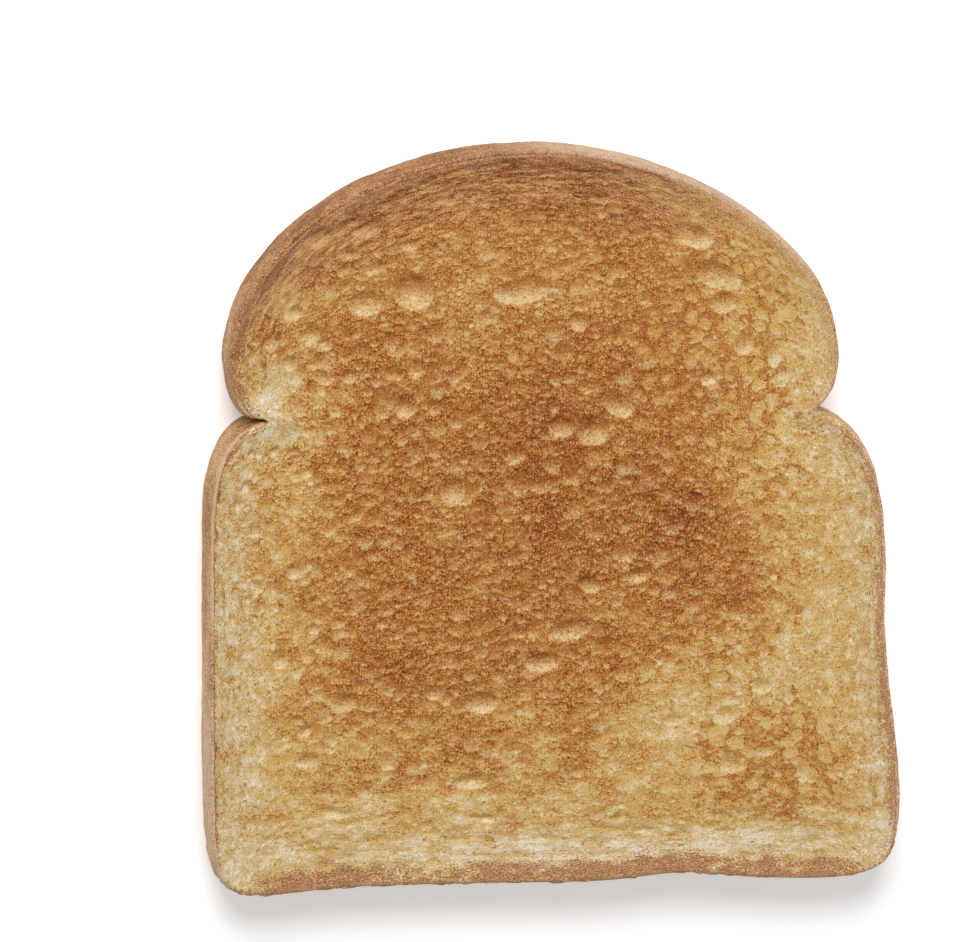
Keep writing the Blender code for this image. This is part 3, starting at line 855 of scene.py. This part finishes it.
class Look:  # a material whose nodes are added one call at a time
    def __init__(self, name):
        self.material = bpy.data.materials.new(name)
        self.material.use_nodes = True
        self.tree = self.material.node_tree
        self.shader = self.tree.nodes["Principled BSDF"]

    def plug(self, node, key, value):
        socket = next(s for s in node.inputs if s.identifier == key)
        if isinstance(value, Wire):
            self.tree.links.new(value.socket, socket)
        else:
            socket.default_value = value

    def node(self, kind, settings, values, result=None):
        node = self.tree.nodes.new(kind)
        for name, setting in settings.items():
            setattr(node, name, setting)
        for key, value in values.items():
            self.plug(node, key, value)
        socket = next(s for s in node.outputs if result is None or s.identifier == result)
        return Wire(self, socket)

    def math(self, operation, first, second):
        return self.node("ShaderNodeMath", {"operation": operation}, {"Value": first, "Value_001": second})

    def number(self, name):
        return self.node("ShaderNodeAttribute", {"attribute_name": name}, {}, "Fac")

    def vector(self, name):
        return self.node("ShaderNodeAttribute", {"attribute_name": name}, {}, "Vector")

    def moved(self, vector, operation, other):
        values = {"Vector": vector, "Vector_001" if operation != "SCALE" else "Scale": other}
        return self.node("ShaderNodeVectorMath", {"operation": operation}, values, "Vector")

    def noise(self, vector, scale, detail=2.0, roughness=0.5):
        values = {"Vector": vector, "Scale": scale, "Detail": detail, "Roughness": roughness}
        return self.node("ShaderNodeTexNoise", {"noise_dimensions": "3D"}, values, "Fac") - 0.5

    def drift(self, vector, scale):  # a wandering shift, 0 to 1 each way
        return self.node("ShaderNodeTexNoise", {}, {"Vector": vector, "Scale": scale, "Detail": 2.0}, "Color")

    def walls(self, vector, scale):  # distance to the wall between two cells
        settings = {"voronoi_dimensions": "2D", "feature": "DISTANCE_TO_EDGE"}
        return self.node("ShaderNodeTexVoronoi", settings, {"Vector": vector, "Scale": scale}, "Distance")

    def cells(self, vector, scale, dimensions="2D"):  # distance to a cell's middle, its number, how far up
        settings = {"voronoi_dimensions": dimensions}
        away = self.node("ShaderNodeTexVoronoi", settings, {"Vector": vector, "Scale": scale}, "Distance")
        colour, middle = (Wire(self, away.socket.node.outputs[name]) for name in ("Color", "Position"))
        up = self.node("ShaderNodeSeparateXYZ", {}, {"Vector": self.moved(vector, "SUBTRACT", middle)}, "Y")
        return away, self.node("ShaderNodeSeparateXYZ", {}, {"Vector": colour}, "X"), up * scale

    def mixed(self, share, first, second, blend="MIX"):
        settings = {"data_type": "RGBA", "blend_type": blend}
        values = {"Factor_Float": share, "A_Color": first, "B_Color": second}
        return self.node("ShaderNodeMix", settings, values, "Result_Color")

    def blend(self, share, first, second):
        return first + (second - first) * share

    def ramp(self, share, stops):  # stops: place and colour
        wire = self.node("ShaderNodeValToRGB", {}, {"Fac": share}, "Color")
        elements = wire.socket.node.color_ramp.elements
        while len(elements) < len(stops):
            elements.new(0.5)
        for element, (place, colour) in zip(elements, stops):
            element.position, element.color = place, colour
        return wire

    def finish(self, colour, roughness, bump, bumpDepth):
        values = {"Height": bump, "Distance": bumpDepth, "Strength": 1.0}
        self.plug(self.shader, "Base Color", colour)
        self.plug(self.shader, "Roughness", roughness)
        self.plug(self.shader, "Normal", self.node("ShaderNodeBump", {}, values, "Normal"))
        self.shader.inputs["Specular IOR Level"].default_value = 0.25
        return self.material


def paint(red, green, blue):  # screen values 0 to 255 as the light a surface gives back
    shares = [value / 255 for value in (red, green, blue)]
    return tuple(s / 12.92 if s < 0.04045 else ((s + 0.055) / 1.055) ** 2.4 for s in shares) + (1.0,)


crumbLook = {
    "stops": [
        (0.00, paint(118, 57, 8)),
        (0.15, paint(147, 82, 24)),
        (0.30, paint(166, 104, 43)),
        (0.45, paint(180, 125, 61)),
        (0.60, paint(193, 148, 80)),
        (0.75, paint(202, 168, 101)),
        (0.88, paint(214, 187, 136)),
        (1.00, paint(234, 217, 184)),
    ],
    "rimDark": paint(174, 126, 88),
    "rimLight": paint(212, 174, 130),
    "mauve": (0.84, 0.86, 1.42, 1.0),
    "scorchDark": paint(136, 82, 52),
    "scorchLight": paint(188, 138, 100),
    "dry": (0.985, 1.06, 1.34, 1.0),
    "tan": (0.99, 0.88, 1.0, 1.0),
    "pink": paint(206, 156, 116),
    "netDark": paint(142, 78, 32),
    "netLight": paint(176, 112, 54),
    "golden": (1.0, 0.945, 0.80, 1.0),
    "creamAndLowSideLight": paint(208, 182, 132),
    "paleCream": paint(226, 210, 172),
    "rosy": (1.04, 0.965, 1.22, 1.0),
    "yellowish": (0.975, 1.015, 0.79, 1.0),
    # sizes in millimetres
    "netFloor": 3.0,
    "netHole": 0.95,
    "bubbleCells": (3.8, 2.3, 1.4),
    "fleck": 0.5,
    "pit": 1.6,
    "grain": 0.23,
    "blob": 1.9,
    "pebble": 1.1,
    # how much paler or darker each makes the crumb, of the whole range of browning
    "bubblePaintedShade": 0.15,
    "bubbleLipBrowningAndShade": 0.11,
    "lightFleck": 0.08,
    "darkFleck": 0.14,
    "pebbleToneAndShade": 0.12,
    "seam": 0.26,
    "blotch": 0.34,
    "netStain": 0.34,
    # how much of the crumb's own colour each covers
    "poreLowSideLight": 0.8,
    "blobCream": 0.75,
    "netCover": 0.75,
    "pinkCover": 0.6,
    "creamCover": 0.9,
    "scorchCover": 0.9,
    "rimCover": 0.85,
    "speckle": (0.12, 0.10),   # on pale crumb, and how much more on brown
    "screenGamma": 2.2,
    "roughness": 0.8,
}


def crumbMaterial():  # a level of browning from 0 to 1, its colour, and the finishes over it
    look = Look("toastedCrumb")
    drawnAt, toast = look.vector("drawn"), look.number("toast")
    rim, net, openness, strand = (look.number(name) for name in ("rim", "net", "open", "strand"))
    bent = look.moved(drawnAt, "ADD", look.moved(look.drift(drawnAt, 0.9), "SCALE", 0.8))
    torn = look.moved(bent, "ADD", look.moved(look.drift(drawnAt, 1.7), "SCALE", 0.6))
    grain = look.noise(drawnAt, 1 / crumbLook["grain"], 1.0, 0.6)
    hue = look.noise(look.moved(drawnAt, "ADD", (40.0, 7.0, 0.0)), 1.4, 2.0, 0.6)
    fine = look.noise(drawnAt, 2.1, 2.0, 0.6)
    soft = look.noise(drawnAt, 1.1, 3.0, 0.55)
    coarse = look.noise(drawnAt, 0.5, 3.0, 0.55)
    brown = 1.0 - toast.between(0.3, 0.85)
    browned = 1.0 - toast.between(0.5, 0.9)
    # bubbles that stand open: a bowl with painted shade by how it slants, paler low and darker high, a raised
    # lip that is darker partly by browning and partly by painted shade on its upper side, and a cream low
    # side that is painted light
    bowlShadeAndLipBrowning, inBowl = 0.0, openness.between(0.0, 0.4)
    creamAndLowSideLight = look.number("creamAndLowSideLight") * crumbLook["poreLowSideLight"]
    for cell in crumbLook["bubbleCells"]:
        away, dice, up = look.cells(bent, 1 / cell)
        share, slant = away / (dice * 0.5), up / (dice * 0.5)
        there = dice.between(0.48, 0.52) * (1.0 - inBowl)
        bowl = there * (1.0 - share.between(0.85, 1.02))
        lip = there * share.between(0.92, 1.05) * (1.0 - share.between(1.08, 1.3))
        # painted shade: each open bubble paler on its low side and darker high; its lip darker, more so on
        # its upper side
        bowlShadeAndLipBrowning = bowlShadeAndLipBrowning + bowl * (0.25 - slant) * crumbLook["bubblePaintedShade"]
        bowlShadeAndLipBrowning = bowlShadeAndLipBrowning - lip * (slant + 0.35 - fine * 2.0) * crumbLook["bubbleLipBrowningAndShade"]
        inBowl = inBowl.math("MAXIMUM", bowl)
        # painted light: cream on the low side of each open bubble
        creamAndLowSideLight = creamAndLowSideLight + (1.0 - share.between(0.6, 1.03)) * there * (0.45 - slant) * (dice - 0.35) * 1.3
    calm = 1.0 - inBowl * 0.5
    bowlShadeAndLipBrowning = bowlShadeAndLipBrowning * (0.12 + browned * 0.88)
    # flecks, pits and pale blobs of crumb; the pits are dark dots painted as the shade inside small holes
    fleckAway, fleckDice, _ = look.cells(bent, 1 / crumbLook["fleck"])
    lightFleck = (1.0 - fleckAway.between(0.10, 0.42)) * fleckDice.between(0.5, 0.8)
    darkFleck = (1.0 - fleckAway.between(0.15, 0.5)) * (1.0 - fleckDice.between(0.2, 0.4))
    crumbTone = lightFleck * crumbLook["lightFleck"] - darkFleck * crumbLook["darkFleck"]
    crumbTone = crumbTone + grain * 0.4 + fine * 0.95 - 0.02
    pitAway, pitDice, _ = look.cells(torn, 1 / crumbLook["pit"])
    # painted shade: dark dots where small holes would lie in shade
    pits = (1.0 - pitAway.between(0.08, 0.26)) * pitDice.between(0.8, 0.88) * (1.0 - brown)
    blobAway, blobDice, _ = look.cells(bent, 1 / crumbLook["blob"])
    blobs = (1.0 - (blobAway + soft * 0.5).between(0.10, 0.36)) * blobDice.between(0.5, 0.8)
    blobs = blobs * toast.between(0.4, 0.6)
    creamAndLowSideLight = creamAndLowSideLight + blobs * crumbLook["blobCream"]
    paleTone = grain * 0.3 + fine * 0.3 + soft * 0.8 - pits * 0.35 + blobs * 0.06
    tone = look.blend(browned, paleTone, crumbTone)
    # fibres along the crust, and the pebbled brown crumb with its dark seams
    wavy = look.moved(look.vector("strandAt"), "ADD", look.moved(look.drift(drawnAt, 0.6), "SCALE", 0.9))
    strandAt = look.node("ShaderNodeMapping", {}, {"Vector": wavy, "Scale": (0.22, 1.7, 1.0)}, "Vector")
    fibres = look.noise(strandAt, 1.0, 3.0, 0.65) * strand
    _, pebbleDice, pebbleUp = look.cells(bent, 1 / crumbLook["pebble"])
    seam = 1.0 - look.walls(bent, 1 / crumbLook["pebble"]).between(0.02, 0.1)
    seam = seam * (coarse * 3.0 + soft + 0.5).between(0.0, 1.0)
    # each pebble has its own random tone, and painted shade makes it paler low and darker high
    pebbles = (pebbleDice - 0.5) * crumbLook["pebbleToneAndShade"] - pebbleUp * crumbLook["pebbleToneAndShade"]
    pebbles = (pebbles - seam * crumbLook["seam"]) * calm * browned
    level = toast + pebbles + tone * calm + coarse * crumbLook["blotch"] * (0.5 + brown * 0.6)
    level = level + bowlShadeAndLipBrowning + fibres * (0.45 + brown * 1.6)
    mauve = look.number("mauve").between(0.0, 0.9)
    level = level - ((level - 0.5).math("MAXIMUM", 0.0) * 0.55 - 0.06) * mauve
    # the net: torn dark walls round pale floors, each floor with its own size and stained ring, and painted
    # shade by its slant: each floor paler low and darker high, its ring darker on its upper side
    netShare = (net + coarse * 1.6 + soft * 0.6).between(0.25, 0.6)
    netShare = netShare * (1.0 - openness.between(0.1, 0.5) * 0.8)
    floorAway, floorDice, floorUp = look.cells(torn, 1 / crumbLook["netFloor"])
    floorSize = floorDice * 0.22 + 0.28 - coarse * 0.4
    floorShare = floorAway / floorSize + soft * 0.6 + fine * 0.4
    floorSlant = floorUp / floorSize
    holeAway, holeDice, _ = look.cells(torn, 1 / crumbLook["netHole"])
    lace = (holeAway / (holeDice * 0.3 + 0.24)).between(0.75, 1.1)
    ring = floorShare.between(0.88, 1.0) * (1.0 - floorShare.between(1.06, 1.25))
    # painted shade: the stained ring is darker on a floor's upper side
    ring = ring * (0.8 + floorSlant * 0.5 + soft)
    mottle = coarse * 0.8 + lace * 0.3 + ring * 0.5 - fine * 2.6 - grain * 2.0 - lightFleck * 0.4
    stain = floorShare.between(0.88, 1.45) * (0.6 + soft * 2.0 + coarse * 1.0 + lace * 0.35)
    matrix = floorShare.between(0.88, 1.05) * (mottle + 0.2).between(0.0, 1.1)
    threadShare = (matrix * (0.3 + lace * 0.6) + ring * 0.75).math("MINIMUM", 1.0) * netShare
    # painted light and shade: each net floor paler on its low side, darker on its upper side
    hollow = (1.0 - floorShare.between(0.9, 1.05)) * (0.1 - floorSlant) * 0.14
    floorLevel = toast * 0.4 + 0.46 + soft * 0.3 + bowlShadeAndLipBrowning * 0.4 + hollow
    floorLevel = floorLevel - stain * crumbLook["netStain"] + grain * 0.3
    level = look.blend(netShare * crumbLook["netCover"], level, floorLevel)
    # the level's colour, then each finish over it: its share, its colour, and how it is laid on
    netTint = (fine * 3.0 + grain * 3.0 + 0.6).between(0.0, 1.0)
    netColour = look.mixed(netTint, crumbLook["netDark"], crumbLook["netLight"])
    mauveHere = mauve * (1.0 - (level + fibres).between(0.45, 0.72))
    pink = (lightFleck + grain).between(0.1, 1.0) * browned * brown * crumbLook["pinkCover"]
    creamAndLowSideLight = creamAndLowSideLight * (0.75 + fine * 2.0 + lightFleck * 0.2) * (1.0 - mauve * 0.7)
    creamColour = look.mixed(browned.math("MAXIMUM", netShare), crumbLook["paleCream"], crumbLook["creamAndLowSideLight"])
    dry = look.number("dry") * level.between(0.45, 0.7)
    scorched = look.number("scorch") * 1.35 - 0.22 - grain * 1.6 - fine * 3.0 + soft * 1.4 - fibres * 1.5
    crumbly = (fine * 2.6 + grain * 2.0 + fibres * 2.0 + 0.5).between(0.0, 1.0)
    scorch = look.mixed(crumbly, crumbLook["scorchDark"], crumbLook["scorchLight"])
    rimShare = rim * (0.6 - fine * 2.0 + coarse - fibres * 3.0)
    rimColour = look.mixed(crumbly, crumbLook["rimDark"], crumbLook["rimLight"])
    tint = look.mixed((hue * 2.6 + 0.5).between(0.0, 1.0), crumbLook["yellowish"], crumbLook["rosy"])
    colour = look.ramp(level.math("MINIMUM", 0.98), crumbLook["stops"])
    for share, over, laid in (
        (netShare, crumbLook["golden"], "MULTIPLY"),
        (threadShare, netColour, "MIX"),
        (mauveHere, crumbLook["mauve"], "MULTIPLY"),
        (mauve * level.between(0.35, 0.58), crumbLook["tan"], "MULTIPLY"),
        (pink, crumbLook["pink"], "MIX"),
        (creamAndLowSideLight.between(0.0, 1.0) * crumbLook["creamCover"], creamColour, "MIX"),
        (dry, crumbLook["dry"], "MULTIPLY"),
        (scorched.between(0.0, 0.9) * crumbLook["scorchCover"], scorch, "MIX"),
        (rimShare.between(0.0, 1.0) * crumbLook["rimCover"], rimColour, "MIX"),
        (1.0 - mauve * 0.8 - dry * 0.7, tint, "MULTIPLY"),
    ):
        colour = look.mixed(share, colour, over, laid)
    # fine speckles, as even on dark crumb as on pale, so they are added to the colour as a screen has it
    paleSpeckle, brownSpeckle = crumbLook["speckle"]
    speckle = (grain * 2.4 + fine * 0.4) * calm + lightFleck * 0.22 - darkFleck * 0.20
    speckle = speckle.math("MINIMUM", 0.5).math("MAXIMUM", -0.5) * (paleSpeckle + browned * brownSpeckle)
    gamma = crumbLook["screenGamma"]
    screen = look.node("ShaderNodeGamma", {}, {"Color": colour, "Gamma": 1 / gamma}, "Color")
    screen = look.moved(look.moved(screen, "ADD", speckle), "MAXIMUM", (0.0, 0.0, 0.0))
    colour = look.node("ShaderNodeGamma", {}, {"Color": screen, "Gamma": gamma}, "Color")
    bump = grain * 0.06 + fine * 0.05 + pebbles * 0.15 + fibres * 0.4 - inBowl * browned * 0.04 - pits * 0.08
    return look.finish(colour, crumbLook["roughness"], bump, mm)


crustLook = {
    "stops": [
        (0.0, paint(108, 62, 30)),
        (0.35, paint(152, 99, 56)),
        (0.6, paint(184, 134, 84)),
        (0.8, paint(204, 162, 116)),
        (1.0, paint(222, 192, 160)),
    ],
    "crumb": paint(204, 172, 116),
    "dusty": paint(204, 178, 152),
    "layers": 0.25,            # how strong the baked layers, blotches, grain and crumbs are
    "blotch": 0.45,
    "grain": 2.8,
    "specks": 0.25,
    "roughness": 0.78,
}


def crustMaterial():  # baked brown with soft layers along it, paler and dustier where its numbers say so
    look = Look("bakedCrust")
    place = look.moved(look.node("ShaderNodeTexCoord", {}, {}, "Object"), "SCALE", 1 / mm)
    long = look.node("ShaderNodeMapping", {}, {"Vector": place, "Scale": (0.3, 0.3, 1.0)}, "Vector")
    layers = look.noise(long, 1.2, 3.0, 0.6)
    blotch = look.noise(place, 0.7, 3.0, 0.6)
    grain = look.noise(place, 3.4, 3.0, 0.7)
    crumbs, crumbDice, _ = look.cells(place, 2.2, "3D")
    specks = (1.0 - crumbs.between(0.1, 0.4)) * crumbDice.between(0.55, 0.8)
    level = look.number("bakeAndPaintedLight") * 0.5 + 0.22 + layers * crustLook["layers"] + blotch * crustLook["blotch"]
    level = level + grain * crustLook["grain"] + specks * crustLook["specks"]
    colour = look.ramp(level, crustLook["stops"])
    dusty = look.number("dusty") * (0.55 + grain * 1.5 + blotch)
    colour = look.mixed(dusty, colour, crustLook["dusty"])
    colour = look.mixed(look.number("pale") * (0.9 + grain), colour, crustLook["crumb"])
    bump = layers * 0.12 + blotch * 0.15 + grain * 0.16 + specks * 0.06
    return look.finish(colour, crustLook["roughness"], bump, mm)


crumbPaint, crustPaint = crumbMaterial(), crustMaterial()
for piece, material, slotName in ((toastFace, crumbPaint, "toasted_crumb"),
                                  (toastCrust, crustPaint, "crust"),
                                  (toastUnderside, crumbPaint, "toasted_crumb")):
    piece.data.materials.append(material)
    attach(piece, "root")
    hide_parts("toast_slice")
print("materials: crumb and crust")

studio = {
    "lean": (-0.155, 0.175, 1.0),      # from the slice towards the camera
    "distance": 1.5,
    "target": (-0.0127, 0.0085, 0.012),
    "lens": 354.4,
    "floorSize": 4.0,
    "floor": (0.96, 0.96, 0.96, 1.0),
    "floorGlow": 0.3,
    "air": 0.29,
    "key": {"from": (-0.15, 0.9, 1.1), "distance": 1.1, "size": 0.7, "power": 11.0},
    "fill": {"from": (0.5, -0.4, 1.0), "distance": 1.4, "size": 1.2, "power": 2.5},
}


def addFloor():  # a square that glows a little, so that it stays pale
    half = studio["floorSize"]
    mesh = bpy.data.meshes.new("floor")
    corners = [(-half, -half, 0), (half, -half, 0), (half, half, 0), (-half, half, 0)]
    mesh.from_pydata(corners, [], [(0, 1, 2, 3)])
    floor = bpy.data.objects.new("floor", mesh)
    bpy.context.collection.objects.link(floor)
    look = Look("paleFloor")
    look.shader.inputs["Base Color"].default_value = studio["floor"]
    look.shader.inputs["Roughness"].default_value = 0.9
    look.shader.inputs["Emission Color"].default_value = studio["floor"]
    look.shader.inputs["Emission Strength"].default_value = studio["floorGlow"]
    mesh.materials.append(look.material)


def addLight(name, light):  # a round soft lamp that faces the slice
    data = bpy.data.lights.new(name, "AREA")
    data.shape, data.size, data.energy = "DISK", light["size"], light["power"]
    lamp = bpy.data.objects.new(name, data)
    way = Vector(light["from"]).normalized()
    lamp.location = way * light["distance"]
    lamp.rotation_euler = way.to_track_quat("Z", "Y").to_euler()
    bpy.context.collection.objects.link(lamp)


def addCamera():  # level with the slice's rows, looking back along its lean
    data = bpy.data.cameras.new("camera")
    data.lens, data.sensor_width, data.clip_end = studio["lens"], 36.0, 20.0
    camera = bpy.data.objects.new("camera", data)
    back = Vector(studio["lean"]).normalized()
    right = (-back).cross(Vector((0, 1, 0))).normalized()
    up = back.cross(right)
    camera.rotation_euler = Matrix((right, up, back)).transposed().to_euler()
    camera.location = Vector(studio["target"]) + back * studio["distance"]
    bpy.context.collection.objects.link(camera)
    bpy.context.scene.camera = camera


addFloor()
addLight("keyLight", studio["key"])
addLight("fillLight", studio["fill"])
addCamera()
world = bpy.data.worlds.new("air")
world.use_nodes = True
world.node_tree.nodes["Background"].inputs["Color"].default_value = (1.0, 1.0, 1.0, 1.0)
world.node_tree.nodes["Background"].inputs["Strength"].default_value = studio["air"]
bpy.context.scene.world = world
bpy.context.scene.view_settings.view_transform = "Standard"
print("studio: floor, two lights and camera")
